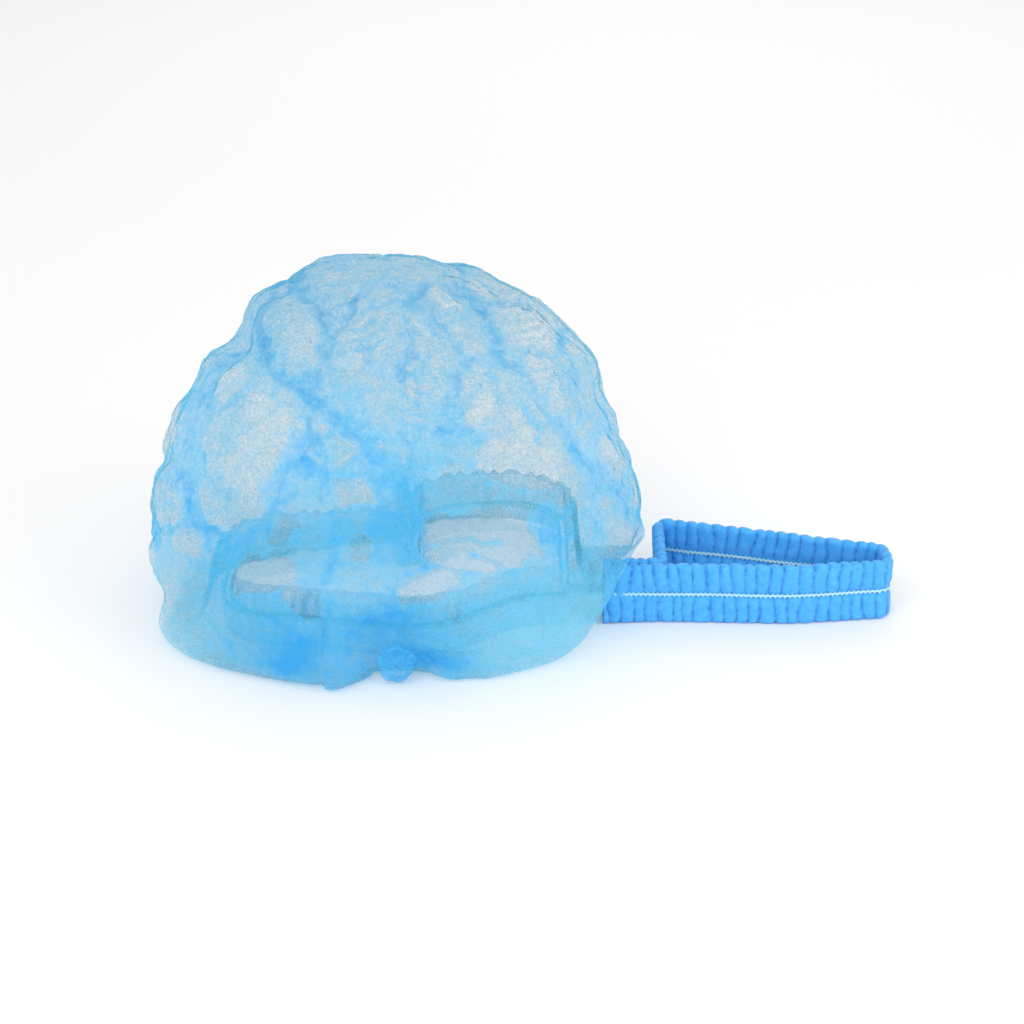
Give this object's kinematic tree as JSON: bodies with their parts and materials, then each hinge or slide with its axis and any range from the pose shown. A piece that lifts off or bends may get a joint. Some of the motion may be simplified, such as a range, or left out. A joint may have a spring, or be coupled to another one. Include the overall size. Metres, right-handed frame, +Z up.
{
  "type": "disposable beard hairnet",
  "caption": "Disposable hairnet: a thin hollow pouch of pale blue nonwoven cloth on a pleated elastic band, whose free end makes a strap loop beside it.",
  "frame": {"origin": "middle of the bottom of the part's box, on the surface that the band's lower edge stands on", "axes": "+Z up, +X from the pouch to the strap loop's fold, +Y away from the side with the front knot"},
  "size_m": [0.2662, 0.1522, 0.127],
  "materials": {
    "nonwoven_cloth": "thin matte nonwoven",
    "pleated_band": "matte pleated nonwoven",
    "gathered_cloth": "matte gathered nonwoven"
  },
  "bodies": {
    "root": {"pouch": "nonwoven_cloth", "mouth_band": "pleated_band", "strap_loop": "pleated_band", "front_knot": "gathered_cloth", "rear_bunch": "gathered_cloth"}
  },
  "joints": []
}
